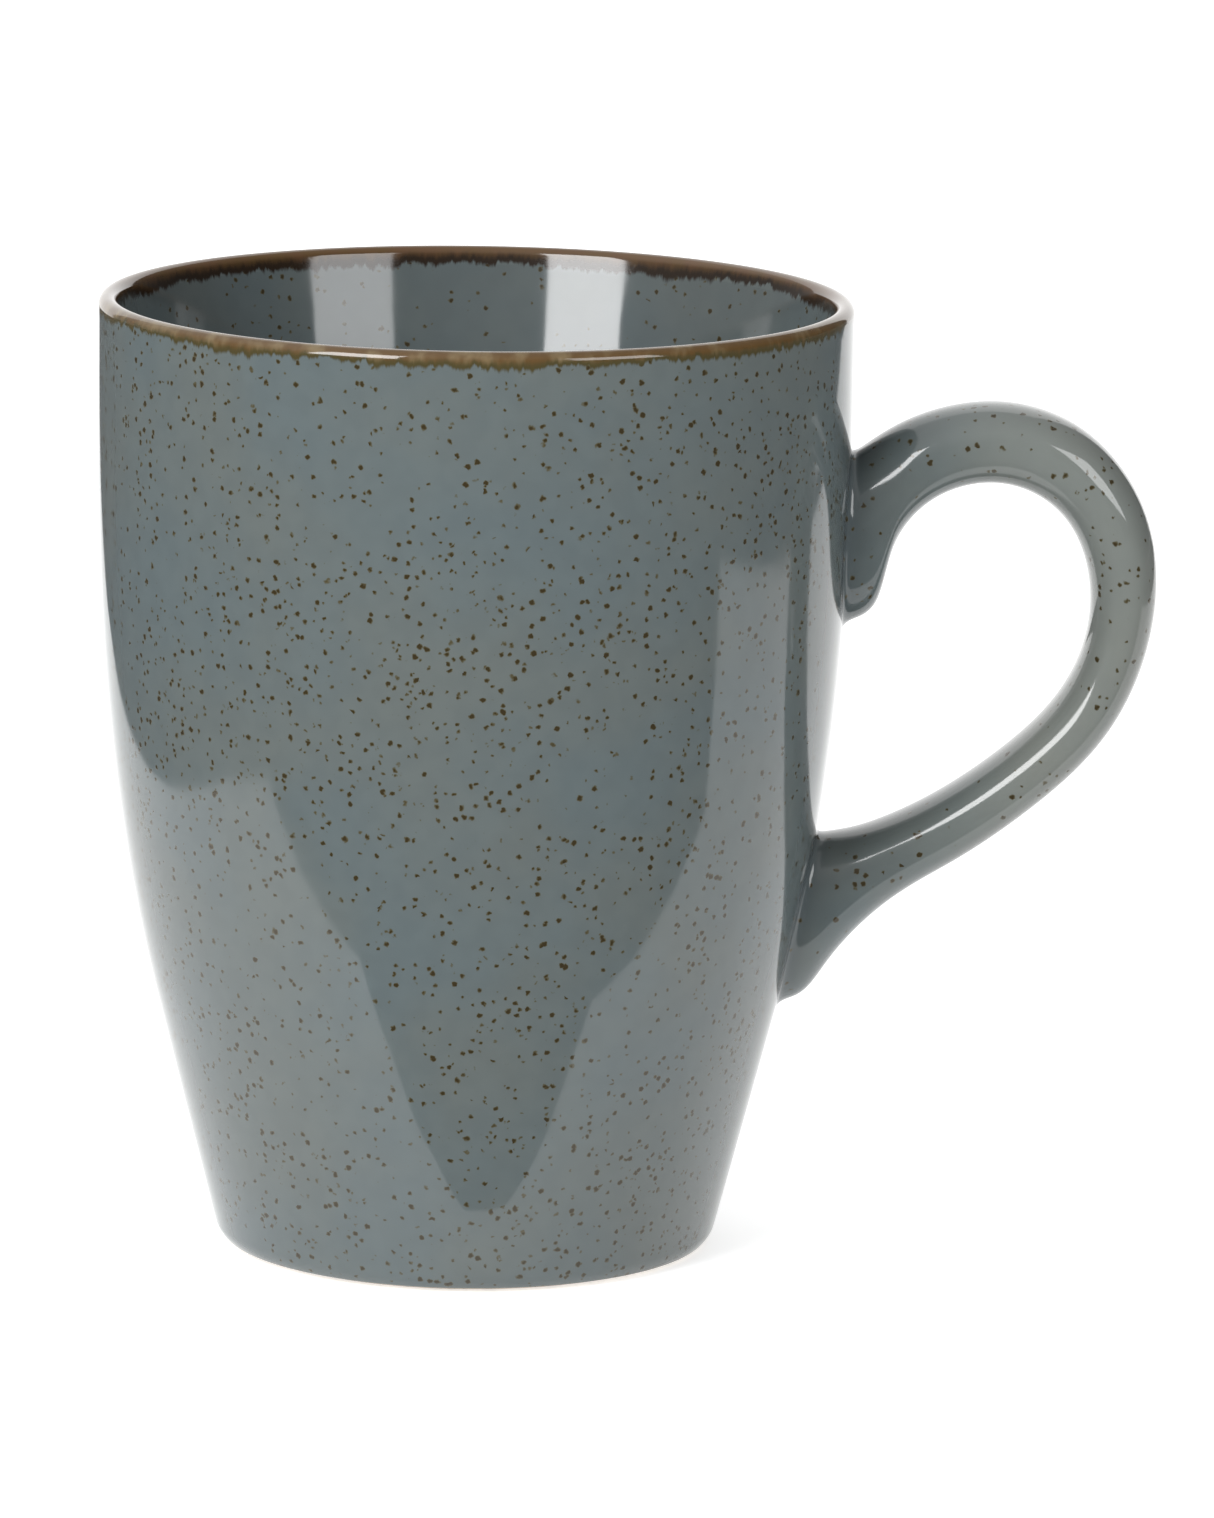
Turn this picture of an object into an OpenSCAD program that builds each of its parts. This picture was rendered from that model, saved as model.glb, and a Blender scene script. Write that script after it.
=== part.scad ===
// Glazed stoneware mug: a flared vessel with round shoulders and a separately cast handle,
// luted on with slip at two roots, then coated with glaze and finished with a brown rim band.
// Frame: origin at the centre of the foot on the table, +Z up, handle towards +X. Millimetres.

/* [Vessel] */
// Height from the table to the top of the lip
height = 104.6; // [102:0.2:110]
// Outer radius at the rim
rim_r = 41; // [40:0.5:43]
// Height at which the straight flare above the foot ends
flare_h = 27; // [24:1:30]
// Outer radius where the straight flare ends
flare_r = 34; // [33:0.2:35]
// Lean of the straight flare from vertical, in degrees
flare_lean = 14.4; // [13:0.2:16]
// Height at which the wall has become upright
upright_h = 95.6; // [90:0.2:97]
// Thickness of the wall with the glaze on both faces, measured level
wall_t = 5; // [4.4:0.1:5.4]
// Height of the glazed floor inside, above the table
floor_h = 6.5; // [5:0.1:8]
// Radius of the hollow between the inner wall and the floor
heel_r = 11; // [7:1:15]

/* [Lip] */
// Radius of the rounded lip
lip_r = 1.05; // [0.95:0.05:1.5]
// Height of the mouth, over which the wall thins to the lip
mouth_h = 16; // [14:1:22]
// Lean of the mouth's inner face at the lip, in degrees
mouth_lean = 12; // [11:1:15]

/* [Foot] */
// Radius of the rounded outer corner of the clay foot
foot_corner_r = 3; // [2.5:0.1:4]
// Width of the bare ring that stands on the table
foot_ring_w = 3.4; // [2.8:0.1:5]
// Depth of the recess inside the foot ring
recess_depth = 1.6; // [1.2:0.1:2.4]

/* [Glaze] */
// Thickness of every glaze coat
glaze_t = 0.35; // [0.25:0.05:0.45]
// Angle down the foot's corner at which the outer glaze stops, in degrees below level
glaze_stop = 46; // [35:1:55]
// Height on the recess's slope at which the base glaze stops
base_stop_h = 0.7; // [0.5:0.1:1]
// How far below the lip the brown rim band ends outside
band_out = 2.4; // [2:0.1:4]
// How far below the lip the brown rim band ends inside
band_in = 1.9; // [1.9:0.1:4]

/* [Handle] */
// How far the handle stands out beyond the rim's radius
handle_reach = 33.6; // [31:0.1:36]
// Height of the handle's crown
handle_top = 93.8; // [92:0.1:96]
// Width of the handle at mid length, across the mug's side
handle_w = 12; // [10:0.5:13]
// Extra width of the handle at its roots
root_spread = 1.4; // [0:0.1:2]
// Thickness of the slip that lutes each root to the wall
slip_t = 0.6; // [0.5:0.05:0.8]

/* [Hidden] */

glaze_color = [0.43, 0.47, 0.48];
inside_color = [0.37, 0.40, 0.41];
band_color = [0.42, 0.30, 0.17];
clay_color = [0.80, 0.76, 0.69];
slip_color = [0.72, 0.68, 0.62];

// Facets of a drawn revolve, and steps along a curve
revolve_fn = 144;
wall_steps = 14;
mouth_steps = 6;
arc_steps = 10;

// The wall's curl from the straight flare to upright is one power curve, tangent to the flare
flare_slope = tan(flare_lean);
curl_h = upright_h - flare_h;
curl_r = rim_r - flare_r;
curl_power = flare_slope * curl_h / curl_r;
// Distance of the flare's line from the origin, measured square to the line
flare_offset = flare_r * cos(flare_lean) - flare_h * sin(flare_lean);

// The mouth's inner face meets the rounded lip at lip_h, where the wall is lip_t thick
lip_centre = [rim_r - lip_r, height - lip_r];
lip_h = lip_centre[1] + lip_r * sin(mouth_lean);
lip_t = lip_r * (1 + cos(mouth_lean));
mouth_foot = lip_h - mouth_h;
mouth_power = max(1, tan(mouth_lean) * mouth_h / (wall_t - lip_t));
foot_centre = corner_centre(glaze_t, foot_corner_r, foot_corner_r);
heel_centre = corner_centre(wall_t * cos(flare_lean), heel_r, floor_h + heel_r);
recess_r = foot_centre[0] - foot_ring_w;

// Handle stations from the upper root, over the crown, to the lower root: the inner edge's point,
// then the outer edge's point, each as distance beyond the rim's radius and height, then 1 at a
// root and 0 at mid length. The first and last pairs lie inside the vessel's wall.
nominal_reach = 33.6;
nominal_top = 93.8;
stations = [
    [-10, 69.4,   -10, 82.6,    1],
    [-0.4, 69.5,  -0.6, 87.4,   1],
    [2.8, 71.4,   3, 89.9,      0.8],
    [4.5, 77.3,   6.9, 92,      0.4],
    [8.5, 82.8,   11.6, 93.4,   0],
    [15.2, 85,    17.8, 93.6,   0],
    [21.7, 82.8,  25.6, 90.6,   0],
    [25.6, 77.1,  32.1, 82.3,   0],
    [26.2, 69,    33.4, 70,     0],
    [23, 61.3,    29.2, 58.3,   0],
    [16.1, 54.5,  20.8, 49.35,  0],
    [8.4, 49.4,   11.8, 42.9,   0],
    [2.6, 46.8,   4.2, 37.9,    0.3],
    [-1.4, 45.9,  -1.4, 31.9,   0.7],
    [-5.4, 45.4,  -4.2, 28.2,   1],
    [-12, 45,     -10, 27.2,    1],
];
last_station = len(stations) - 1;
root_span = 4;
station_steps = 3;
section_sides = 20;
// Above 2, this makes the handle's oval section fuller at its corners
section_power = 2.3;

// --- Vessel outline -------------------------------------------------------------------------

// Centre of a corner arc of radius r, at height z, that is tangent to the flare at a depth
function corner_centre(depth, r, z) =
    [(flare_offset - depth - r + z * sin(flare_lean)) / cos(flare_lean), z];

// How much of the curl is still to come at height z, from 1 at the flare to 0 where upright
function curl_left(z) = min(1, max(0, (upright_h - z) / curl_h));

// Radius of the glazed outer wall at height z
function wall_r(z) =
    z < flare_h ? flare_r - flare_slope * (flare_h - z)
                : rim_r - curl_r * pow(curl_left(z), curl_power);

// Lean of the wall from vertical at height z
function wall_lean(z) = atan(flare_slope * pow(curl_left(z), curl_power - 1));

// Point at a depth under the outer wall's surface, square to it
function wall_point(z, depth) =
    [wall_r(z) - depth * cos(wall_lean(z)), z + depth * sin(wall_lean(z))];

// The wall's line at a depth, from the end of the flare up to height top
function wall_line(top, depth) = concat(
    [for (i = [0 : wall_steps]) wall_point(flare_h + curl_h * i / wall_steps, depth)],
    [[rim_r - depth, top]]
);

// How far up the mouth height z is, from 0 at its foot to 1 at the lip
function up_mouth(z) = max(0, (z - mouth_foot) / mouth_h);

// Radius of the glazed inner wall at height z
function inner_r(z) = wall_r(z) - wall_t + (wall_t - lip_t) * pow(up_mouth(z), mouth_power);

// Lean of the inner wall from vertical at height z
function inner_lean(z) =
    atan(tan(wall_lean(z)) + tan(mouth_lean) * pow(up_mouth(z), mouth_power - 1));

// Point under the inner wall's surface, square to it, behind a coat
function inner_point(z, coat) =
    [inner_r(z) + coat * cos(inner_lean(z)), z - coat * sin(inner_lean(z))];

// Points of an arc about a centre
function arc(centre, r, from, to) =
    [for (i = [0 : arc_steps])
        let (a = from + (to - from) * i / arc_steps)
            centre + r * [cos(a), sin(a)]];

// A list of points in the opposite order
function reversed(points) = [for (i = [len(points) - 1 : -1 : 0]) points[i]];

// The foot's outer corner, with a coat on it, from an angle up to the flare
function foot_corner(coat, from) = arc(foot_centre, foot_corner_r + coat, from, -flare_lean);

// The inner surface from the floor, round the hollow and up to the rim band, behind a coat
function inner_line(coat) = concat(
    arc(heel_centre, heel_r + coat, -90, -flare_lean),
    [for (i = [0 : wall_steps])
        inner_point(flare_h + (mouth_foot - flare_h) * i / wall_steps, coat)],
    [for (i = [1 : mouth_steps])
        inner_point(mouth_foot + (height - band_in - mouth_foot) * i / mouth_steps, coat)]
);

module revolved(outline) {
    rotate_extrude($fn = revolve_fn) polygon(outline);
}

// The vessel's outside as a solid with no hollow, with its surface grown by a coat
module vessel_envelope(coat) {
    side = concat(
        arc(foot_centre, foot_corner_r + glaze_t + coat, -90, -flare_lean),
        wall_line(height, -coat)
    );
    revolved(concat([[0, side[0][1]]], side, [[0, height]]));
}

// --- Handle -----------------------------------------------------------------------------------

// One coordinate row between two stations, on a smooth curve through their neighbours
function smooth(a, b, c, d, t) =
    (2 * b + (c - a) * t + (2 * a - 5 * b + 4 * c - d) * t * t
    + (3 * b - a - 3 * c + d) * t * t * t) / 2;

function station(i) = stations[min(last_station, max(0, i))];

// The station row at a position along the handle, counted in stations
function handle_row(s) =
    let (i = floor(s))
        smooth(station(i - 1), station(i), station(i + 1), station(i + 2), s - i);

// A handle point's real place in the XZ plane
function handle_point(out, up) =
    [rim_r + out * handle_reach / nominal_reach, up * handle_top / nominal_top];

// A cosine or sine drawn out towards the corners of a fuller oval
function fuller(v) = sign(v) * pow(abs(v), 2 / section_power);

// The ring of points round the handle at a position along it, at a depth under the glaze
function handle_ring(s, depth) =
    let (
        row = handle_row(s),
        inner = handle_point(row[0], row[1]),
        outer = handle_point(row[2], row[3]),
        centre = (inner + outer) / 2,
        reach = norm(outer - inner) / 2,
        across = (outer - inner) / (2 * reach) * (reach - depth),
        side = (handle_w + root_spread * row[4]) / 2 - depth
    )
    [for (k = [0 : section_sides - 1])
        let (
            a = 360 * k / section_sides,
            p = centre + across * fuller(cos(a))
        )
            [p[0], side * fuller(sin(a)), p[1]]];

// The two triangles between neighbouring rings a and b, at side k; the lists start at first
function band_faces(first, a, b) =
    [for (k = [0 : section_sides - 1])
        let (
            n = (k + 1) % section_sides,
            p = first + a * section_sides,
            q = first + b * section_sides
        )
            each [[p + k, p + n, q + n], [p + k, q + n, q + k]]];

// How many rings a stretch of the handle has
function ring_count(from, to) = (to - from) * station_steps + 1;

function ring_points(from, to, depth) =
    [for (i = [0 : ring_count(from, to) - 1])
        each handle_ring(from + i / station_steps, depth)];

function side_faces(rings, first) = [for (i = [0 : rings - 2]) each band_faces(first, i, i + 1)];

// A closed solid stretch of the handle between two stations
module handle_solid(from, to, depth) {
    rings = ring_count(from, to);
    last = (rings - 1) * section_sides;
    polyhedron(
        points = ring_points(from, to, depth),
        faces = concat(
            side_faces(rings, 0),
            [[for (k = [section_sides - 1 : -1 : 0]) k]],
            [[for (k = [0 : section_sides - 1]) last + k]]
        )
    );
}

// The whole handle's glaze as a tube, open where it meets the wall
module handle_tube() {
    rings = ring_count(0, last_station);
    count = rings * section_sides;
    polyhedron(
        points = concat(ring_points(0, last_station, 0), ring_points(0, last_station, glaze_t)),
        faces = concat(
            side_faces(rings, 0),
            [for (f = side_faces(rings, count)) reversed(f)],
            band_faces(0, rings, 0),
            band_faces(0, rings - 1, 2 * rings - 1)
        )
    );
}

module upper_root() {
    handle_solid(0, root_span, glaze_t);
}

module lower_root() {
    handle_solid(last_station - root_span, last_station, glaze_t);
}

// The layer of slip on the wall, all round the vessel
module slip_layer() {
    difference() {
        vessel_envelope(slip_t - glaze_t);
        vessel_envelope(-glaze_t);
    }
}

// --- Sub-parts ----------------------------------------------------------------------------------

// Fired clay vessel: wall, floor, rounded lip and the bare foot ring
module vessel_body() {
    color(clay_color) revolved(concat(
        [[0, recess_depth], [recess_r - recess_depth, recess_depth], [recess_r, 0]],
        foot_corner(0, -90),
        wall_line(lip_centre[1], glaze_t),
        arc(lip_centre, lip_r - glaze_t, 0, 180 - mouth_lean),
        reversed(inner_line(glaze_t)),
        [[0, floor_h - glaze_t]]
    ));
}

// Fired clay handle, cut to the wall at both roots
module handle() {
    color(clay_color) difference() {
        handle_solid(0, last_station, glaze_t);
        vessel_envelope(slip_t - glaze_t);
    }
}

// Slip between the wall and the handle's upper root
module upper_slip_joint() {
    color(slip_color) intersection() {
        upper_root();
        slip_layer();
    }
}

// Slip between the wall and the handle's lower root
module lower_slip_joint() {
    color(slip_color) intersection() {
        lower_root();
        slip_layer();
    }
}

// Blue-grey glaze outside, from the foot's corner to the rim band, open under the two roots
module outer_glaze() {
    top = height - band_out;
    color(glaze_color) difference() {
        revolved(concat(
            foot_corner(glaze_t, -glaze_stop),
            wall_line(top, 0),
            reversed(wall_line(top, glaze_t)),
            reversed(foot_corner(0, -glaze_stop))
        ));
        upper_root();
        lower_root();
    }
}

// Blue-grey glaze on the inner wall and the floor, up to the rim band
module inner_glaze() {
    color(inside_color) revolved(concat(
        [[0, floor_h - glaze_t]],
        inner_line(glaze_t),
        reversed(inner_line(0)),
        [[0, floor_h]]
    ));
}

// Iron-brown band over the lip
module rim_band() {
    outer_foot = height - band_out;
    inner_foot = height - band_in;
    inner_end = 180 - mouth_lean;
    color(band_color) revolved(concat(
        [[rim_r, outer_foot]],
        arc(lip_centre, lip_r, 0, inner_end),
        [inner_point(inner_foot, 0), inner_point(inner_foot, glaze_t)],
        arc(lip_centre, lip_r - glaze_t, inner_end, 0),
        [[rim_r - glaze_t, outer_foot]]
    ));
}

// Blue-grey glaze round the handle, ending on the vessel's glaze
module handle_glaze() {
    color(glaze_color) difference() {
        handle_tube();
        vessel_envelope(0);
    }
}

// Glaze in the recess under the floor, ending short of the bare ring
module base_glaze() {
    slope_inset = glaze_t / sqrt(2);
    corner_inset = glaze_t * tan(22.5);
    color(glaze_color) revolved([
        [0, recess_depth],
        [recess_r - recess_depth, recess_depth],
        [recess_r - base_stop_h, base_stop_h],
        [recess_r - base_stop_h - slope_inset, base_stop_h - slope_inset],
        [recess_r - recess_depth - corner_inset, recess_depth - glaze_t],
        [0, recess_depth - glaze_t]
    ]);
}

vessel_body();
handle();
upper_slip_joint();
lower_slip_joint();
outer_glaze();
inner_glaze();
rim_band();
handle_glaze();
base_glaze();
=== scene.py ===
"""Looks of the ceramic mug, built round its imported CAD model: coats, handle, light and camera."""

import math

import bmesh
import bpy
import numpy as np
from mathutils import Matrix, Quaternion, Vector
from mathutils.kdtree import KDTree


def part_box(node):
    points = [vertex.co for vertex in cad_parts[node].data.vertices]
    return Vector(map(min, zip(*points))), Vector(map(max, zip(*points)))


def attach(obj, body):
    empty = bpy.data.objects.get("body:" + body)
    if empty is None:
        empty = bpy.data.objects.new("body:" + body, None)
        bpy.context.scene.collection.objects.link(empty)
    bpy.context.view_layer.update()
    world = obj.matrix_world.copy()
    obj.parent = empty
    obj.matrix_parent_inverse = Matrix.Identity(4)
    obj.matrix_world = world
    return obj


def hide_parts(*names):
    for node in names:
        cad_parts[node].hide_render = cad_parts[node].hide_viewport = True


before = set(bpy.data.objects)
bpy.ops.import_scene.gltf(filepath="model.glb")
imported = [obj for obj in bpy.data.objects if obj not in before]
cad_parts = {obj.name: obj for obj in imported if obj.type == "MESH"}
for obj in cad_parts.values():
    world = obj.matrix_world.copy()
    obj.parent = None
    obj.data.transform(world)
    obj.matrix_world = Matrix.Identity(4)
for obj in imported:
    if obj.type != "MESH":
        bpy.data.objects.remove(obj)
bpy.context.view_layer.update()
MM = 0.001

# --- Sizes, in metres, from the frame where it holds them ------------------------------------

RIM_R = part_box("rim_band")[1].x
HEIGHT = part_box("rim_band")[1].z
GLAZE_T = 0.35 * MM
BAND_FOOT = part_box("rim_band")[0].z
INNER_BAND_REACH = 1.9 * MM
INNER_BAND_FOOT = HEIGHT - INNER_BAND_REACH
FLOOR_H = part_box("inner_glaze")[0].z + GLAZE_T
RECESS_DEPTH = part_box("base_glaze")[1].z

FLARE_H = 27 * MM
FLARE_R = 34 * MM
FLARE_LEAN = math.radians(14.4)
UPRIGHT_H = 95.6 * MM
WALL_T = 5 * MM
HEEL_R = 11 * MM
LIP_R = 1.05 * MM
MOUTH_H = 16 * MM
MOUTH_LEAN = math.radians(12)
FOOT_CORNER_R = 3 * MM
FOOT_RING_W = 3.4 * MM
GLAZE_STOP = math.radians(46)
BASE_STOP_H = 0.7 * MM
# How far a coat's hidden face is sunk into the clay, so that no two faces coincide
SINK = 0.03 * MM

HANDLE_W = 12 * MM
ROOT_SPREAD = 1.4 * MM
SLIP_T = 0.6 * MM
SECTION_POWER = 2.3
FILLET = 1.5 * MM
FILLET_FOOT = 1.1 * MM
SKIRT = 0.5 * MM
POOL_REACH = 3 * MM
# The glaze on the handle is painted paler between these distances from the mug's axis: partly the
# glaze thinning out, partly painted light on the handle's outer end
THIN_AND_LIT_START = RIM_R + 2 * MM
THIN_AND_LIT_END = RIM_R + 22 * MM

# Handle stations as in the CAD source, in millimetres: inner edge out and up, outer edge out
# and up, beyond the rim's radius and above the table, then 1 at a root and 0 at mid length
STATIONS = np.array([
    [-10, 69.4, -10, 82.6, 1],
    [-0.4, 69.5, -0.6, 87.4, 1],
    [2.8, 71.4, 3, 89.9, 0.8],
    [4.5, 77.3, 6.9, 92, 0.4],
    [8.5, 82.8, 11.6, 93.4, 0],
    [15.2, 85, 17.8, 93.6, 0],
    [21.7, 82.8, 25.6, 90.6, 0],
    [25.6, 77.1, 32.1, 82.3, 0],
    [26.2, 69, 33.4, 70, 0],
    [23, 61.3, 29.2, 58.3, 0],
    [16.1, 54.5, 20.8, 49.35, 0],
    [8.4, 49.4, 11.8, 42.9, 0],
    [2.6, 46.8, 4.2, 37.9, 0.3],
    [-1.4, 45.9, -1.4, 31.9, 0.7],
    [-5.4, 45.4, -4.2, 28.2, 1],
    [-12, 45, -10, 27.2, 1],
]) * [MM, MM, MM, MM, 1]
LAST_STATION = len(STATIONS) - 1

SIDES = 256
HANDLE_SIDES = 80
STEP = 1 * MM
DISC_STEP = 2 * MM

# --- Vessel outline --------------------------------------------------------------------------

FLARE_SLOPE = math.tan(FLARE_LEAN)
CURL_H = UPRIGHT_H - FLARE_H
CURL_R = RIM_R - FLARE_R
CURL_POWER = FLARE_SLOPE * CURL_H / CURL_R
FLARE_OFFSET = FLARE_R * math.cos(FLARE_LEAN) - FLARE_H * math.sin(FLARE_LEAN)
LIP_CENTRE = (RIM_R - LIP_R, HEIGHT - LIP_R)
LIP_H = LIP_CENTRE[1] + LIP_R * math.sin(MOUTH_LEAN)
LIP_T = LIP_R * (1 + math.cos(MOUTH_LEAN))
MOUTH_FOOT = LIP_H - MOUTH_H
MOUTH_POWER = math.tan(MOUTH_LEAN) * MOUTH_H / (WALL_T - LIP_T)


def corner_centre(depth, radius, z):
    """Centre of a corner arc at height z that is tangent to the flare at a depth."""
    across = FLARE_OFFSET - depth - radius + z * math.sin(FLARE_LEAN)
    return across / math.cos(FLARE_LEAN), z


FOOT_CENTRE = corner_centre(GLAZE_T, FOOT_CORNER_R, FOOT_CORNER_R)
HEEL_CENTRE = corner_centre(WALL_T * math.cos(FLARE_LEAN), HEEL_R, FLOOR_H + HEEL_R)
RECESS_R = FOOT_CENTRE[0] - FOOT_RING_W


def wall_r(z):
    """Radius of the glazed outer wall at height z."""
    left = np.clip((UPRIGHT_H - z) / CURL_H, 0, 1)
    return np.where(z < FLARE_H, FLARE_R - FLARE_SLOPE * (FLARE_H - z),
                    RIM_R - CURL_R * left ** CURL_POWER)


def wall_lean(z):
    """Lean of the outer wall from vertical at height z."""
    left = np.clip((UPRIGHT_H - z) / CURL_H, 0, 1)
    return np.arctan(FLARE_SLOPE * left ** (CURL_POWER - 1))


def inner_r(z):
    """Radius of the glazed inner wall at height z."""
    up = np.clip((z - MOUTH_FOOT) / MOUTH_H, 0, None)
    return wall_r(z) - WALL_T + (WALL_T - LIP_T) * up ** MOUTH_POWER


def inner_lean(z):
    """Lean of the inner wall from vertical at height z."""
    up = np.clip((z - MOUTH_FOOT) / MOUTH_H, 0, None)
    return np.arctan(np.tan(wall_lean(z)) + math.tan(MOUTH_LEAN) * up ** (MOUTH_POWER - 1))


def line(start, end, step=STEP):
    """Evenly spaced values from start to end, about a step apart."""
    return np.linspace(start, end, max(2, round(abs(end - start) / step) + 1))


def disc_line(end, z):
    """A flat disc's outline at height z, from its centre out to a radius."""
    return [[0, z], *([r, z] for r in line(DISC_STEP, end, DISC_STEP))]


def arc(centre, radius, start, end, steps):
    """Points of an arc, with its angles in radians."""
    a = np.linspace(start, end, steps + 1)
    return np.stack([centre[0] + radius * np.cos(a), centre[1] + radius * np.sin(a)], 1)


def outer_line(low, high, depth):
    """The outer wall between two heights, at a depth under its surface."""
    z = line(low, high)
    lean = wall_lean(z)
    return np.stack([wall_r(z) - depth * np.cos(lean), z + depth * np.sin(lean)], 1)


def inner_line(low, high, coat):
    """The inner wall between two heights, behind a coat."""
    z = line(low, high)
    lean = inner_lean(z)
    return np.stack([inner_r(z) + coat * np.cos(lean), z - coat * np.sin(lean)], 1)


def rounded_end(outer, inner, steps=6):
    """The half-round roll in which a coat ends, from its outer end point to its inner one."""
    outer, inner = np.array(outer), np.array(inner)
    centre, across = (outer + inner) / 2, (outer - inner) / 2
    along = np.array([across[1], -across[0]])
    a = np.linspace(0, math.pi, steps + 1)[1:-1, None]
    return centre + across * np.cos(a) + along * np.sin(a)


# --- Mesh building ---------------------------------------------------------------------------

def piece(name, vertices, faces, material, slot, replaced=()):
    """A smooth-shaded piece that rides on the mug, takes a material and hides the CAD nodes it stands
    for.
    """
    mesh = bpy.data.meshes.new(name)
    mesh.from_pydata([tuple(v) for v in vertices], [], faces)
    mesh.polygons.foreach_set("use_smooth", [True] * len(mesh.polygons))
    mesh.materials.append(material)
    mark_sharp_edges(mesh)
    made = bpy.data.objects.new(name, mesh)
    bpy.context.scene.collection.objects.link(made)
    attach(made, "root")
    if replaced:
        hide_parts(*replaced)
    return made


def mark_sharp_edges(mesh, angle=math.radians(35)):
    """Turns faces outwards and keeps the edges that turn more than the angle crisp."""
    bm = bmesh.new()
    bm.from_mesh(mesh)
    bmesh.ops.recalc_face_normals(bm, faces=bm.faces)
    for edge in bm.edges:
        edge.smooth = edge.calc_face_angle(0) < angle
    bm.to_mesh(mesh)
    bm.free()


def revolved(outline, sides=SIDES):
    """Vertices and faces of a closed outline of (radius, height) points turned round Z."""
    turn = np.arange(sides) * 2 * math.pi / sides
    vertices, rings = [], []
    for r, z in outline:
        first = len(vertices)
        if r < 1e-9:
            vertices.append((0, 0, z))
            rings.append([first] * sides)
        else:
            vertices += [(r * math.cos(t), r * math.sin(t), z) for t in turn]
            rings.append([first + k for k in range(sides)])
    faces = []
    for i, ring in enumerate(rings):
        following = rings[(i + 1) % len(rings)]
        for k in range(sides):
            n = (k + 1) % sides
            corners = [ring[k], ring[n], following[n], following[k]]
            face = list(dict.fromkeys(corners))
            if len(face) > 2:
                faces.append(face)
    return vertices, faces


def tube_faces(count, sides, closed):
    """Faces between rings of equally many points, and from the last back to the first if closed."""
    return [
        [i * sides + k, i * sides + (k + 1) % sides,
         (i + 1) % count * sides + (k + 1) % sides, (i + 1) % count * sides + k]
        for i in range(count if closed else count - 1) for k in range(sides)
    ]


# --- Vessel and its coats ---------------------------------------------------------------------

def clay_vessel(material):
    """The clay vessel with its bare foot ring, whose edges are softened by the sponge."""
    edge_r = 0.5 * MM
    edge_reach = edge_r * math.tan(math.pi / 8)
    ring_edge = (RECESS_R + edge_reach, edge_r)
    depth = GLAZE_T
    outline = np.concatenate([
        disc_line(RECESS_R - RECESS_DEPTH, RECESS_DEPTH),
        arc(ring_edge, edge_r, math.radians(-135), math.radians(-90), 4),
        arc(FOOT_CENTRE, FOOT_CORNER_R, math.radians(-90), -FLARE_LEAN, 16),
        outer_line(FOOT_CENTRE[1], LIP_CENTRE[1], depth)[2:],
        arc(LIP_CENTRE, LIP_R - depth, 0, math.pi - MOUTH_LEAN, 12)[1:],
        inner_line(HEEL_CENTRE[1], INNER_BAND_FOOT, depth)[::-1],
        arc(HEEL_CENTRE, HEEL_R + depth, -FLARE_LEAN, math.radians(-90), 16),
        [[0, FLOOR_H - depth]],
    ])
    return piece("clay_vessel", *revolved(outline), material, "bare_clay", ["vessel_body"])


def outer_coat(material):
    """The glaze outside, from its rounded end on the foot's corner up to the rim band."""
    foot = arc(FOOT_CENTRE, FOOT_CORNER_R + GLAZE_T, -GLAZE_STOP, -FLARE_LEAN, 14)
    hidden_foot = arc(FOOT_CENTRE, FOOT_CORNER_R - SINK, -FLARE_LEAN, -GLAZE_STOP, 10)
    start = foot[-1][1] + STEP
    depth = GLAZE_T + SINK
    outline = np.concatenate([
        foot,
        outer_line(start, BAND_FOOT, 0),
        outer_line(start, BAND_FOOT, depth)[::-1],
        hidden_foot,
        rounded_end(foot[0], hidden_foot[-1])[::-1],
    ])
    return piece("outer_coat", *revolved(outline), material, "speckled_glaze", ["outer_glaze"])


def rim_coat(material):
    """The iron band's glaze over the lip, down to where the two blue-grey coats begin."""
    depth = GLAZE_T + SINK
    inner_end = math.pi - MOUTH_LEAN
    outline = np.concatenate([
        outer_line(BAND_FOOT, LIP_CENTRE[1], 0)[:-1],
        arc(LIP_CENTRE, LIP_R, 0, inner_end, 28),
        inner_line(INNER_BAND_FOOT, LIP_H, 0)[-2::-1],
        inner_line(INNER_BAND_FOOT, LIP_H, depth)[:-1],
        arc(LIP_CENTRE, LIP_R - depth, inner_end, 0, 14),
        outer_line(BAND_FOOT, LIP_CENTRE[1], depth)[-2::-1],
    ])
    return piece("rim_coat", *revolved(outline), material, "rim_glaze", ["rim_band"])


def inner_coat(material):
    """The glaze inside, over the floor and the hollow and up the wall to the rim band."""
    tangent_h = HEEL_CENTRE[1] - HEEL_R * math.sin(FLARE_LEAN)
    start = tangent_h + STEP
    hollow = arc(HEEL_CENTRE, HEEL_R, math.radians(-90), -FLARE_LEAN, 24)
    hidden_hollow = arc(HEEL_CENTRE, HEEL_R + GLAZE_T + SINK, -FLARE_LEAN, math.radians(-90), 16)
    outline = np.concatenate([
        disc_line(HEEL_CENTRE[0] - STEP, FLOOR_H),
        hollow,
        inner_line(start, INNER_BAND_FOOT, 0),
        inner_line(start, INNER_BAND_FOOT, GLAZE_T + SINK)[::-1],
        hidden_hollow,
        [[0, FLOOR_H - GLAZE_T - SINK]],
    ])
    return piece("inner_coat", *revolved(outline), material, "inner_glaze", ["inner_glaze"])


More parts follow.
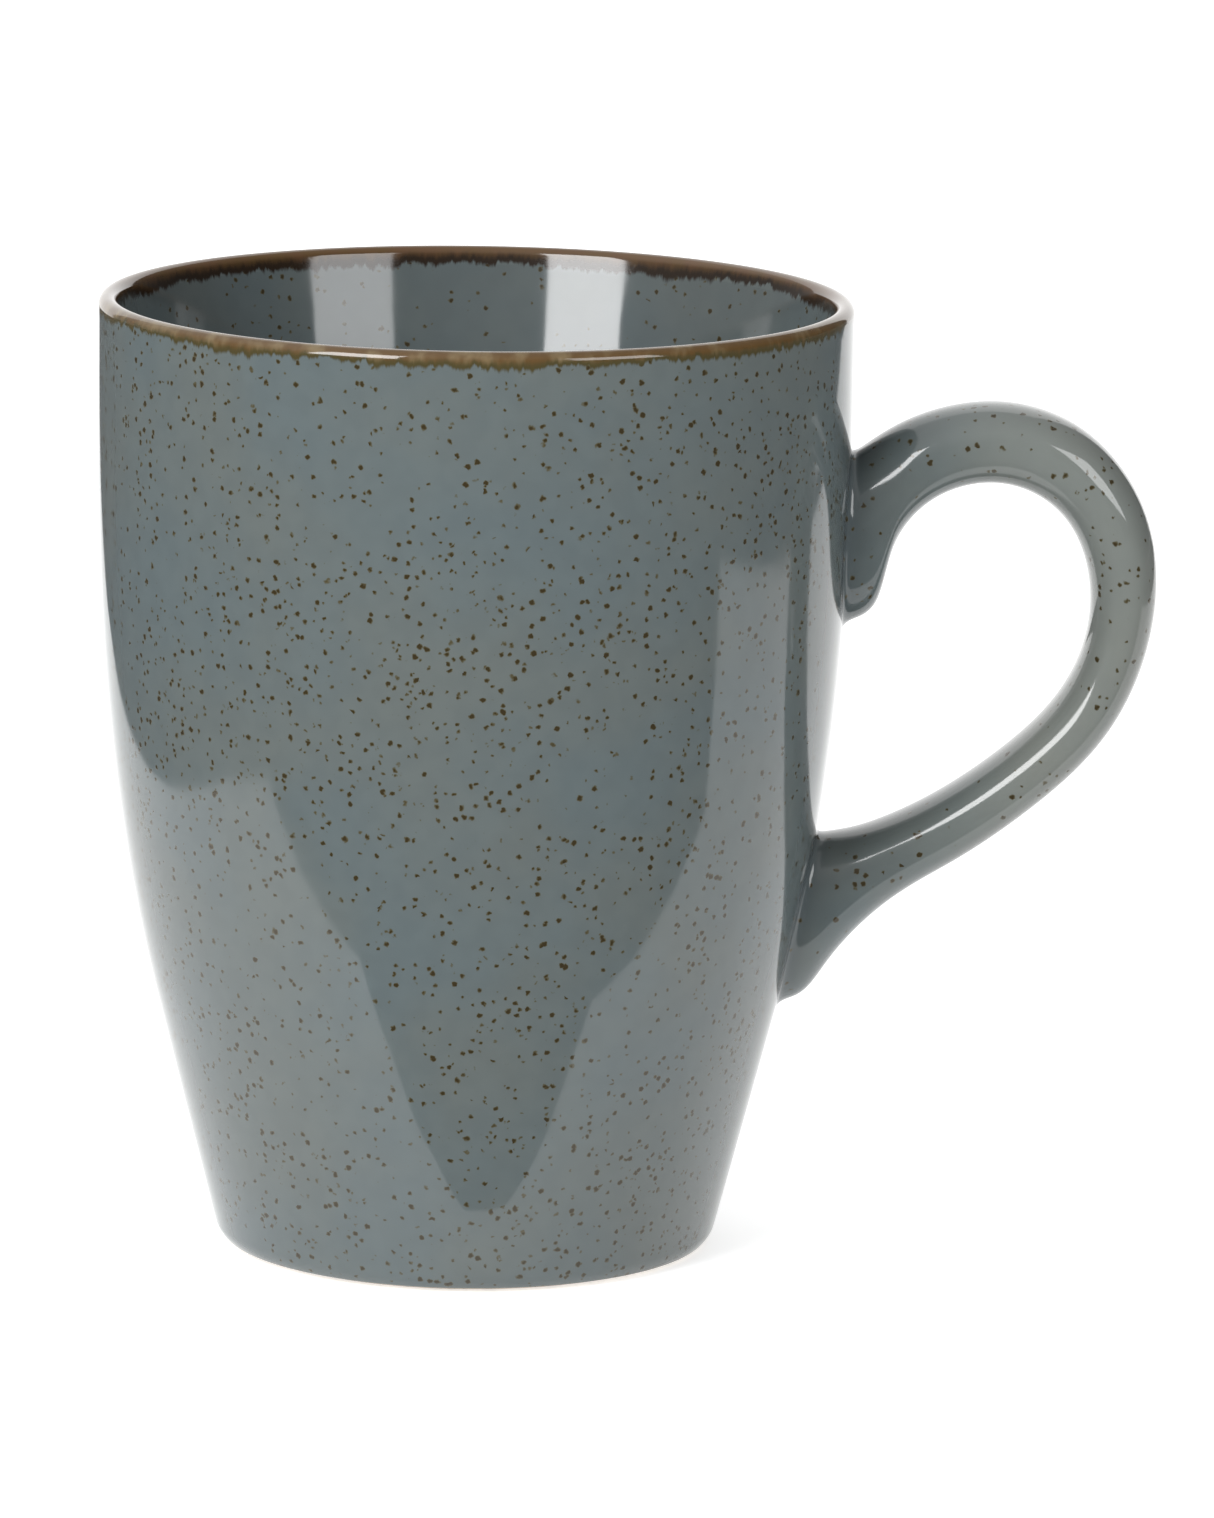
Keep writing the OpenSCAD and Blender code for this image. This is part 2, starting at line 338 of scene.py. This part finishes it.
def base_coat(material):
    """The glaze in the recess under the floor, ending in a rounded edge on the recess's slope."""
    slope_top = RECESS_R - RECESS_DEPTH
    stop_r = RECESS_R - BASE_STOP_H
    inset = GLAZE_T / math.sqrt(2)
    corner = slope_top - GLAZE_T * math.tan(math.pi / 8)
    hollow_r = 1.2 * MM
    outer_end = [stop_r - inset, BASE_STOP_H - inset]
    hidden_end = [stop_r + SINK, BASE_STOP_H + SINK]
    reach = hollow_r * math.tan(math.pi / 8)
    centre = (corner - reach, RECESS_DEPTH - GLAZE_T - hollow_r)
    outline = np.concatenate([
        disc_line(centre[0] - STEP, RECESS_DEPTH - GLAZE_T),
        arc(centre, hollow_r, math.radians(90), math.radians(45), 6),
        [outer_end],
        rounded_end(outer_end, hidden_end),
        [hidden_end, [slope_top + SINK, RECESS_DEPTH + SINK], [0, RECESS_DEPTH + SINK]],
    ])
    return piece("base_coat", *revolved(outline), material, "speckled_glaze", ["base_glaze"])


# --- Handle ------------------------------------------------------------------------------------

def station_places():
    """How far along the handle's centre line each station is, in metres."""
    centre = (STATIONS[:, 0:2] + STATIONS[:, 2:4]) / 2
    return np.append(0, np.cumsum(np.linalg.norm(np.diff(centre, axis=0), axis=1)))


def station_bends():
    """Second derivatives at the stations of the natural cubic spline through them."""
    gaps = np.diff(PLACES)
    slopes = np.diff(STATIONS, axis=0) / gaps[:, None]
    matrix, right = np.eye(len(PLACES)), np.zeros_like(STATIONS)
    for i in range(1, LAST_STATION):
        matrix[i, i - 1:i + 2] = gaps[i - 1], 2 * (gaps[i - 1] + gaps[i]), gaps[i]
        right[i] = 6 * (slopes[i] - slopes[i - 1])
    return np.linalg.solve(matrix, right)


PLACES = station_places()
BENDS = station_bends()
# Between these places each ring lies at one place along the handle, and beyond them the rings
# lean over gradually to follow a root
ROOT_ENDS = (PLACES[4], PLACES[11])


def handle_rows(s):
    """Station rows at places along the handle, on a smooth spline through the stations."""
    i = np.clip(np.searchsorted(PLACES, s, side="right") - 1, 0, LAST_STATION - 1)
    gap = (PLACES[i + 1] - PLACES[i])[..., None]
    t = (s - PLACES[i])[..., None] / gap
    curl = ((1 - t) ** 3 - (1 - t)) * BENDS[i] + (t ** 3 - t) * BENDS[i + 1]
    return (1 - t) * STATIONS[i] + t * STATIONS[i + 1] + curl * gap * gap / 6


def fuller(v):
    """A cosine or sine drawn out towards the corners of a fuller oval."""
    return np.sign(v) * np.abs(v) ** (2 / SECTION_POWER)


def handle_scale():
    """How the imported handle's reach beyond the rim and its height compare with the spline's."""
    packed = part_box("handle_glaze")[1]
    farthest = handle_rows(np.linspace(0, PLACES[-1], 4000)).max(axis=0)
    return np.array([(packed.x - RIM_R) / farthest[2], packed.z / farthest[3]])


HANDLE_SCALE = handle_scale()


def on_handle(s, turn, depth=0):
    """Points of the handle at places s along it and angles round it, at a depth along its section."""
    rows = handle_rows(s)
    inner = rows[..., 0:2] * HANDLE_SCALE + [RIM_R, 0]
    outer = rows[..., 2:4] * HANDLE_SCALE + [RIM_R, 0]
    half = np.linalg.norm(outer - inner, axis=-1, keepdims=True) / 2
    across = (outer - inner) / (2 * half) * (half - depth)
    side = (HANDLE_W + ROOT_SPREAD * rows[..., 4]) / 2 - depth
    p = (inner + outer) / 2 + across * fuller(np.cos(turn))[..., None]
    return np.stack([p[..., 0], side * fuller(np.sin(turn)), p[..., 1]], -1)


def wall_gap(p):
    """How far points stand out from the wall."""
    return np.hypot(p[..., 0], p[..., 1]) - wall_r(p[..., 2])


def wall_crossing(turn, inside, outside, stand=0, depth=0):
    """Where along the handle each angle's line, at a depth, stands a distance out of the wall."""
    low = np.full(turn.shape, float(inside))
    high = np.full(turn.shape, float(outside))
    for _ in range(40):
        middle = (low + high) / 2
        out = wall_gap(on_handle(middle, turn, depth)) > stand
        low, high = np.where(out, low, middle), np.where(out, middle, high)
    return (low + high) / 2


def on_wall(u, z, depth=0):
    """Points and outward normals of the wall, u being the way round it from the handle's plane."""
    angle, lean = u / RIM_R, wall_lean(z)
    r = wall_r(z) - depth * np.cos(lean)
    up = z + depth * np.sin(lean)
    point = np.stack([r * np.cos(angle), r * np.sin(angle), up], -1)
    normal = np.stack([np.cos(angle) * np.cos(lean), np.sin(angle) * np.cos(lean),
                       -np.sin(lean)], -1)
    return point, normal


def unit(v):
    """Vectors scaled to length one."""
    return v / np.linalg.norm(v, axis=-1, keepdims=True)


def root(turn, inside, outside, steps=9):
    """One root's rings, from a skirt under the wall's surface up a fillet to the handle, with where
    the handle's own rings start, where its lines cross the wall, and the seam round the root."""
    edge_depth = 0.01 * MM
    skirt_depth = 0.12 * MM
    pull = 0.7
    crossing = wall_crossing(turn, inside, outside)
    away = math.copysign(1, outside - inside)
    small = 0.05 * MM
    speed = (on_handle(crossing + away * small, turn) - on_handle(crossing, turn)) / small
    start = crossing + away * FILLET / np.linalg.norm(speed, axis=-1)
    top = on_handle(start, turn)
    leaving = unit(on_handle(start + away * small, turn) - top)
    foot = on_handle(crossing, turn)
    flat = np.stack([np.arctan2(foot[:, 1], foot[:, 0]) * RIM_R, foot[:, 2]], -1)
    along = np.roll(flat, -1, 0) - np.roll(flat, 1, 0)
    outwards = unit(np.stack([along[:, 1], -along[:, 0]], -1))
    outwards *= np.sign(np.sum(outwards * (flat - flat.mean(0)), -1).sum())
    edge = flat + outwards * FILLET_FOOT
    low, normal = on_wall(edge[:, 0], edge[:, 1], edge_depth)
    inwards = foot - low
    inwards = unit(inwards - normal * np.sum(inwards * normal, -1, keepdims=True))
    pull_low = low + inwards * FILLET_FOOT * pull
    pull_top = top - leaving * FILLET * pull
    rings = []
    for t in np.linspace(0, 1, steps + 1)[:-1]:
        rings.append(low * (1 - t) ** 3 + pull_low * 3 * t * (1 - t) ** 2
                     + pull_top * 3 * t * t * (1 - t) + top * t ** 3)
    wider = edge + outwards * SKIRT
    skirt = on_wall(wider[:, 0], wider[:, 1], skirt_depth)[0]
    sunk = on_wall(edge[:, 0], edge[:, 1], GLAZE_T)[0]
    return {"rings": [sunk, skirt, *rings], "start": start, "crossing": crossing, "edge": low}


def handle_coat(material, upper, lower, turn):
    """The glaze round the handle as one closed coat, flowing onto the wall at both roots."""
    upper_count, middle_count, lower_count, hidden_count = 24, 76, 30, 60
    body = []
    for t in np.linspace(0, 1, upper_count)[:-1]:
        body.append(on_handle(upper["start"] * (1 - t) + ROOT_ENDS[0] * t, turn))
    for s in np.linspace(*ROOT_ENDS, middle_count)[:-1]:
        body.append(on_handle(np.full(turn.shape, s), turn))
    for t in np.linspace(0, 1, lower_count):
        body.append(on_handle(ROOT_ENDS[1] * (1 - t) + lower["start"] * t, turn))
    hidden = []
    for t in np.linspace(1, 0, hidden_count):
        s = lower["crossing"] * t + upper["crossing"] * (1 - t)
        hidden.append(on_handle(s, turn, GLAZE_T + SINK))
    rings = np.array([*upper["rings"], *body, *lower["rings"][::-1], *hidden])
    faces = tube_faces(*rings.shape[:2], True)
    return piece("handle_coat", rings.reshape(-1, 3), faces, material, "speckled_glaze",
                 ["handle_glaze"])


def handle_core(name, start, end, count, turn, material, slot, node):
    """A closed stretch of the handle under its glaze, from one line round it to another."""
    rings = np.array([on_handle(start * (1 - t) + end * t, turn, GLAZE_T)
                      for t in np.linspace(0, 1, count)])
    sides = len(turn)
    last = (count - 1) * sides
    faces = tube_faces(count, sides, False)
    faces += [list(range(sides)), list(range(last, last + sides))]
    return piece(name, rings.reshape(-1, 3), faces, material, slot, [node])


def clay_handle(bare, slip, turn):
    """The clay handle and the slip that lutes its two roots to the clay wall."""
    slip_count, clay_count = 3, 120
    ends = []
    for name, inside, outside in (("upper_slip", PLACES[0], PLACES[4]),
                                  ("lower_slip", PLACES[-1], PLACES[-5])):
        on_clay = wall_crossing(turn, inside, outside, -GLAZE_T, GLAZE_T)
        on_slip = wall_crossing(turn, inside, outside, SLIP_T - GLAZE_T, GLAZE_T)
        handle_core(name, on_clay, on_slip, slip_count, turn, slip, "fired_slip", name + "_joint")
        ends.append(on_slip)
    handle_core("clay_handle", *ends, clay_count, turn, bare, "bare_clay", "handle")


def mark_pooling(obj, edges):
    """Stores how thick the glaze has pooled: 1 on the seam lines of the roots, 0 away from them."""
    points = np.concatenate(edges)
    tree = KDTree(len(points))
    for i, p in enumerate(points):
        tree.insert(p, i)
    tree.balance()
    near = np.array([tree.find(v.co)[2] for v in obj.data.vertices])
    share = np.clip(1 - near / POOL_REACH, 0, 1)
    attribute = obj.data.attributes.new("pooling", "FLOAT", "POINT")
    attribute.data.foreach_set("value", (share * share * (3 - 2 * share)).astype(np.float32))


# --- Materials ----------------------------------------------------------------------------------

class Graph:
    """A material's node tree, with one short call for each node."""

    def __init__(self, name):
        self.material = bpy.data.materials.new(name)
        self.material.use_nodes = True
        self.tree = self.material.node_tree
        self.tree.nodes.clear()
        self.shader = self.add("ShaderNodeBsdfPrincipled")
        output = self.add("ShaderNodeOutputMaterial")
        self.tree.links.new(self.shader.outputs[0], output.inputs["Surface"])
        self.place = self.add("ShaderNodeTexCoord").outputs["Object"]

    def add(self, kind, inputs=None, **properties):
        """A node with its properties set and its inputs set or linked."""
        made = self.tree.nodes.new(kind)
        for key, value in properties.items():
            setattr(made, key, value)
        for key, value in (inputs or {}).items():
            self.put(made.inputs[key], value)
        return made

    def put(self, socket, value):
        """Sets a socket to a value, or links it to an output."""
        if isinstance(value, bpy.types.NodeSocket):
            self.tree.links.new(value, socket)
        else:
            socket.default_value = value

    def math(self, operation, a, b=0.0):
        """The result of a Math node."""
        return self.add("ShaderNodeMath", {0: a, 1: b}, operation=operation).outputs[0]

    def ramp(self, value, low, high, to_low=0.0, to_high=1.0):
        """A value mapped smoothly from one range to another, clamped."""
        return self.add("ShaderNodeMapRange", {
            "Value": value, "From Min": low, "From Max": high, "To Min": to_low,
            "To Max": to_high}, interpolation_type="SMOOTHSTEP").outputs[0]

    def noise(self, scale, detail=2.0, stretch=(1, 1, 1), roughness=0.5):
        """A noise value from 0 to 1 whose features are about 1/scale metres, stretched along axes."""
        vector = self.place
        if stretch != (1, 1, 1):
            vector = self.add("ShaderNodeVectorMath", {0: vector, 1: stretch},
                              operation="MULTIPLY").outputs[0]
        return self.add("ShaderNodeTexNoise", {
            "Vector": vector, "Scale": scale, "Detail": detail,
            "Roughness": roughness}).outputs["Fac"]

    def mix(self, share, a, b):
        """Two colours mixed by a share."""
        made = self.add("ShaderNodeMix", data_type="RGBA")
        self.put(made.inputs[0], share)
        self.put(made.inputs[6], a)
        self.put(made.inputs[7], b)
        return made.outputs[2]

    def finish(self, color, roughness, height=None, depth=0.0):
        """Links the finished colour, roughness and relief to the shader."""
        self.put(self.shader.inputs["Base Color"], color)
        self.put(self.shader.inputs["Roughness"], roughness)
        if height is not None:
            bump = self.add("ShaderNodeBump", {"Height": height, "Distance": depth})
            self.put(self.shader.inputs["Normal"], bump.outputs[0])
        return self.material


def tone(r, g, b):
    """A linear colour with full alpha."""
    return (r, g, b, 1.0)


GLAZE_BLUE = tone(0.077, 0.096, 0.100)
GLAZE_GREY = tone(0.085, 0.098, 0.095)
# The deep tone: pooled glaze and darker mottle, and also the painted shade of the inside
GLAZE_POOLED_AND_SHADE = tone(0.035, 0.045, 0.052)
# Paler tone for the handle's outer end: thin glaze, and painted light as well
GLAZE_THIN_AND_LIT = tone(0.190, 0.190, 0.165)
SPECK_HALO = tone(0.058, 0.052, 0.030)
SPECK_CORE = tone(0.026, 0.019, 0.008)
IRON_OCHRE = tone(0.076, 0.042, 0.014)
IRON_TAN = tone(0.130, 0.094, 0.048)
IRON_OLIVE = tone(0.044, 0.036, 0.014)
IRON_BROWN = tone(0.080, 0.040, 0.017)
IRON_DARK = tone(0.014, 0.008, 0.004)


def specks(g, cells, presence, radius):
    """How far inside an iron speck each point is, in cell widths, from one layer of cells."""
    wobble = g.add("ShaderNodeTexNoise", {"Vector": g.place, "Scale": cells * 2.2, "Detail": 1.0})
    centred = g.add("ShaderNodeVectorMath", {0: wobble.outputs["Color"], 1: (0.5,) * 3},
                    operation="SUBTRACT").outputs[0]
    shifted = g.add("ShaderNodeVectorMath", {0: centred, 1: (0.45 / cells,) * 3, 2: g.place},
                    operation="MULTIPLY_ADD").outputs[0]
    cell = g.add("ShaderNodeTexVoronoi", {"Vector": shifted, "Scale": cells})
    random = g.add("ShaderNodeSeparateColor", {0: cell.outputs["Color"]})
    there = g.math("LESS_THAN", random.outputs[0], presence)
    varied = g.ramp(random.outputs[1], 0.0, 1.0, radius * 0.55, radius)
    return g.math("SUBTRACT", g.math("MULTIPLY", there, varied), cell.outputs["Distance"])


def iron_band(g):
    """The iron band's colour over the lip, and how much of it shows, from height and side."""
    outer_reach = 1.5 * MM
    streak_drip = 2.2 * MM
    wave_drip = 1.6 * MM
    axes = g.add("ShaderNodeSeparateXYZ", {0: g.place}).outputs
    r = g.math("SQRT", g.math("ADD", g.math("MULTIPLY", axes[0], axes[0]),
                              g.math("MULTIPLY", axes[1], axes[1])))
    outside = g.ramp(r, LIP_CENTRE[0] - 0.6 * MM, LIP_CENTRE[0] + 0.3 * MM)
    below = g.math("SUBTRACT", HEIGHT, axes[2])
    streaks = g.noise(1100, 3.0, (1, 1, 0.10), 0.6)
    waves = g.noise(90, 1.0, (1, 1, 0.05))
    drips = g.math("ADD", g.math("MULTIPLY", g.math("SUBTRACT", streaks, 0.5), streak_drip),
                   g.math("MULTIPLY", g.math("SUBTRACT", waves, 0.5), wave_drip))
    edge = g.math("ADD", g.ramp(outside, 0, 1, INNER_BAND_REACH, outer_reach), drips)
    share = g.math("DIVIDE", below, edge)
    shows = g.ramp(share, 0.86, 1.14, 1.0, 0.0)
    mottle = g.noise(420, 3.0, (1, 1, 0.35))
    ochre = g.mix(g.ramp(mottle, 0.42, 0.72), IRON_OCHRE, IRON_TAN)
    out = g.mix(g.ramp(share, 0.35, 0.85), ochre, IRON_OLIVE)
    crest = g.mix(g.ramp(mottle, 0.3, 0.7), IRON_BROWN, IRON_OCHRE)
    within = g.mix(g.ramp(share, 0.15, 0.75), crest, IRON_DARK)
    return g.mix(outside, within, out), shows


def glaze(name, presence=0.9, dark=0.0, thin=0.0):
    """The reactive blue-grey glaze: mottled, specked with iron, banded at the lip and glossy. A dark
    share darkens it evenly as painted shade, as for the inside.
    """
    g = Graph(name)
    patches = g.ramp(g.noise(60, 3.0), 0.25, 0.75)
    base = g.mix(patches, GLAZE_BLUE, GLAZE_GREY)
    mottle = g.ramp(g.noise(380, 1.0), 0.3, 0.7, 0.0, 0.10)
    base = g.mix(mottle, base, GLAZE_POOLED_AND_SHADE)
    pooled = g.add("ShaderNodeAttribute", attribute_name="pooling").outputs["Fac"]
    base = g.mix(g.math("MULTIPLY", pooled, 0.6), base, GLAZE_POOLED_AND_SHADE)
    # Painted shade: the whole coat is darkened evenly towards the deep tone, as for the inside of the
    # cup
    if dark:
        base = g.mix(dark, base, GLAZE_POOLED_AND_SHADE)
    if thin:
        # Paler towards the handle's outer end: partly thinning glaze, partly painted light
        out = g.add("ShaderNodeSeparateXYZ", {0: g.place}).outputs[0]
        share = g.ramp(out, THIN_AND_LIT_START, THIN_AND_LIT_END, 0.0, thin)
        base = g.mix(share, base, GLAZE_THIN_AND_LIT)
    drift = g.ramp(g.noise(28, 1.0), 0.35, 0.60, 0.5, 1.0)
    clusters = g.ramp(g.noise(170, 2.0), 0.30, 0.56, 0.4 * presence, presence)
    fine = specks(g, cells=1000, presence=g.math("MULTIPLY", clusters, drift), radius=0.35)
    coarse_share = g.ramp(g.noise(210, 2.0), 0.40, 0.62, 0.05, 0.6 * presence)
    coarse = specks(g, cells=720, presence=coarse_share, radius=0.27)
    spots = g.math("MAXIMUM", fine, coarse)
    base = g.mix(g.ramp(spots, -0.03, 0.06), base, SPECK_HALO)
    base = g.mix(g.ramp(spots, 0.04, 0.14), base, SPECK_CORE)
    band, shows = iron_band(g)
    color = g.mix(shows, base, band)
    roughness = g.ramp(g.noise(60, 2.0), 0.3, 0.7, 0.06, 0.10)
    relief = g.math("ADD", g.noise(130, 1.0), g.math("MULTIPLY", g.ramp(spots, -0.03, 0.1), 0.05))
    return g.finish(color, roughness, relief, 0.03 * MM)


def clay(name, light, dark, grain=2600):
    """Bare fired clay: pale, sandy, with dark grains and a dry surface."""
    g = Graph(name)
    color = g.mix(g.ramp(g.noise(240, 4.0), 0.3, 0.7), light, dark)
    pepper = g.ramp(g.noise(grain, 1.0), 0.64, 0.74)
    color = g.mix(pepper, color, tone(0.12, 0.085, 0.055))
    roughness = g.ramp(g.noise(grain, 2.0), 0.3, 0.7, 0.62, 0.85)
    return g.finish(color, roughness, g.noise(grain, 4.0), 0.06 * MM)


# --- Stage ---------------------------------------------------------------------------------------

MUG_CENTRE = Vector((0, 0, HEIGHT / 2))
CAMERA_DISTANCE = 1.042
CAMERA_ELEVATION = math.radians(11.08)
CAMERA_AIM = Vector((0.0149, 0, 0.0537))
CAMERA_ROLL = math.radians(0.91)
CAMERA_LENS = 225.7


def add_camera():
    """The camera at the photograph's viewing angle."""
    data = bpy.data.cameras.new("camera")
    data.lens = CAMERA_LENS
    data.clip_start, data.clip_end = 0.05, 20
    camera = bpy.data.objects.new("camera", data)
    bpy.context.scene.collection.objects.link(camera)
    back = Vector((0, -math.cos(CAMERA_ELEVATION), math.sin(CAMERA_ELEVATION)))
    camera.location = MUG_CENTRE + back * CAMERA_DISTANCE
    look = (CAMERA_AIM - camera.location).to_track_quat("-Z", "Y")
    camera.rotation_mode = "QUATERNION"
    camera.rotation_quaternion = look @ Quaternion((0, 0, 1), CAMERA_ROLL)
    bpy.context.scene.camera = camera


def emitter(name, color, strength, diffuse=None):
    """A stage material that glows evenly, over a matte colour if one is given."""
    material = bpy.data.materials.new(name)
    material.use_nodes = True
    shader = material.node_tree.nodes["Principled BSDF"]
    shader.inputs["Base Color"].default_value = diffuse or tone(0, 0, 0)
    shader.inputs["Roughness"].default_value = 0.9
    shader.inputs["Specular IOR Level"].default_value = 0
    shader.inputs["Emission Color"].default_value = color
    shader.inputs["Emission Strength"].default_value = strength
    return material


def stage_mesh(name, vertices, faces, material, seen_by):
    """A flat stage surface that only the named kinds of ray see."""
    mesh = bpy.data.meshes.new(name)
    mesh.from_pydata(vertices, [], faces)
    mesh.materials.append(material)
    made = bpy.data.objects.new(name, mesh)
    bpy.context.scene.collection.objects.link(made)
    for kind in ("camera", "diffuse", "glossy", "transmission", "volume_scatter", "shadow"):
        setattr(made, "visible_" + kind, kind in seen_by)
    return made


def softbox(name, azimuth, distance, half_angle, low, high, radiance):
    """An upright soft light, placed by its azimuth from the camera's side and its half width."""
    width = 2 * distance * math.tan(math.radians(half_angle))
    tall = high - low
    data = bpy.data.lights.new(name, "AREA")
    data.shape = "RECTANGLE"
    data.size, data.size_y = width, tall
    data.energy = radiance * math.pi * width * tall
    light = bpy.data.objects.new(name, data)
    bpy.context.scene.collection.objects.link(light)
    a = math.radians(azimuth)
    light.location = (distance * math.sin(a), -distance * math.cos(a), (low + high) / 2)
    facing = Vector((-light.location.x, -light.location.y, 0))
    light.rotation_mode = "QUATERNION"
    light.rotation_quaternion = facing.to_track_quat("-Z", "Y")
    light.visible_camera = False


def add_floor():
    """A pale floor, dark flags on it that only reflections see, and a white card that lights the
    mug from behind."""
    white = emitter("floor_white", tone(1, 1, 1), 0.55, tone(0.8, 0.8, 0.8))
    reach = 3.0
    stage_mesh("floor", [(-reach, -reach, 0), (reach, -reach, 0), (reach, reach, 0),
                         (-reach, reach, 0)], [[0, 1, 2, 3]], white,
               ("camera", "diffuse", "glossy", "transmission", "shadow"))
    dark = emitter("flag_dark", tone(1, 1, 1), 0.14)
    lift = 0.4 * MM
    end = 2.5
    tip, tip_half, shoulder, corner, reach_x = -0.04, 0.008, 0.05, 0.16, 0.4
    notch = [(-corner - 0.02, tip), (-corner, -0.085), (-shoulder, -0.08), (-tip_half, tip - 0.008),
             (0, tip), (tip_half, tip), (shoulder, -0.065), (corner, -0.045), (reach_x, -0.09)]
    points = [(x, y, lift) for x, y in notch] + [(x, -end, lift) for x, _ in notch]
    count = len(notch)
    faces = [[i, i + 1, count + i + 1, count + i] for i in range(count - 1)]
    stage_mesh("front_flag", points, faces, dark, ("glossy",))
    for name, near, far in (("left_flag", notch[0][0], -end), ("right_flag", notch[-1][0], end)):
        corners = [(near, -end, lift), (far, -end, lift), (far, end, lift), (near, end, lift)]
        stage_mesh(name, corners, [[0, 1, 2, 3]], dark, ("glossy",))
    left, right, behind, top = -0.63, 0.46, 0.8, 1.2
    card = [(left, behind, 0), (right, behind, 0), (right, behind, top), (left, behind, top)]
    stage_mesh("back_card", card, [[0, 1, 2, 3]], emitter("card_white", tone(1, 1, 1), 1.5),
               ("diffuse", "glossy"))


def add_surround():
    """The white dome that the camera sees behind the floor."""
    bm = bmesh.new()
    bmesh.ops.create_icosphere(bm, subdivisions=4, radius=2.9)
    mesh = bpy.data.meshes.new("surround")
    bm.to_mesh(mesh)
    bm.free()
    mesh.materials.append(emitter("surround_white", tone(1, 1, 1), 1.0))
    made = bpy.data.objects.new("surround", mesh)
    bpy.context.scene.collection.objects.link(made)
    for kind in ("diffuse", "glossy", "transmission", "volume_scatter", "shadow"):
        setattr(made, "visible_" + kind, False)


def add_world():
    """A soft room: brighter overhead than low down, and brighter on the left than on the right."""
    world = bpy.data.worlds.new("studio")
    world.use_nodes = True
    nodes, links = world.node_tree.nodes, world.node_tree.links
    direction = nodes.new("ShaderNodeTexCoord").outputs["Generated"]
    axes = nodes.new("ShaderNodeSeparateXYZ")
    links.new(direction, axes.inputs[0])
    brightness = nodes.new("ShaderNodeMath")
    brightness.operation = "MULTIPLY"
    for i, (axis, low, high, at_low, at_high) in enumerate((("Z", 0.1, 0.9, 0.22, 0.7),
                                                            ("X", -0.8, 0.8, 1.7, 0.4))):
        slope = nodes.new("ShaderNodeMapRange")
        slope.interpolation_type = "SMOOTHSTEP"
        for key, value in (("From Min", low), ("From Max", high), ("To Min", at_low),
                           ("To Max", at_high)):
            slope.inputs[key].default_value = value
        links.new(axes.outputs[axis], slope.inputs["Value"])
        links.new(slope.outputs[0], brightness.inputs[i])
    background = nodes["Background"]
    links.new(brightness.outputs[0], background.inputs["Strength"])
    background.inputs["Color"].default_value = tone(1, 1, 1)
    bpy.context.scene.world = world


# --- The mug -------------------------------------------------------------------------------------

def build_mug():
    """All the pieces, with their materials."""
    speckled = glaze("speckled_glaze")
    # Painted shade: the inside's glaze is the same glaze darkened evenly, for the shade inside the
    # cup
    inside = glaze("inner_glaze", presence=0.35, dark=0.16)
    rim = glaze("rim_glaze")
    # Painted light: the handle's glaze is painted paler towards its outer end, as well as for the
    # thinning of the glaze there
    thin = glaze("handle_glaze", presence=0.35, thin=0.38)
    bare = clay("bare_clay", tone(0.52, 0.44, 0.35), tone(0.40, 0.33, 0.25))
    slip = clay("fired_slip", tone(0.42, 0.36, 0.29), tone(0.33, 0.28, 0.22), 3800)
    clay_vessel(bare)
    shell = outer_coat(speckled)
    rim_coat(rim)
    inner_coat(inside)
    base_coat(speckled)
    turn = np.arange(HANDLE_SIDES) * 2 * math.pi / HANDLE_SIDES
    upper = root(turn, PLACES[0], PLACES[4])
    lower = root(turn, PLACES[-1], PLACES[-5])
    loop = handle_coat(thin, upper, lower, turn)
    for coat in (shell, loop):
        mark_pooling(coat, [upper["edge"], lower["edge"]])
    clay_handle(bare, slip, turn)


build_mug()
add_camera()
add_world()
add_floor()
add_surround()
softbox("left_softbox", azimuth=-37.5, distance=1.2, half_angle=13.5, low=0.3, high=1.25,
        radiance=13)
softbox("right_softbox", azimuth=43.5, distance=1.2, half_angle=14.5, low=0.3, high=0.95,
        radiance=6.2)
bpy.context.scene.view_settings.view_transform = "Standard"
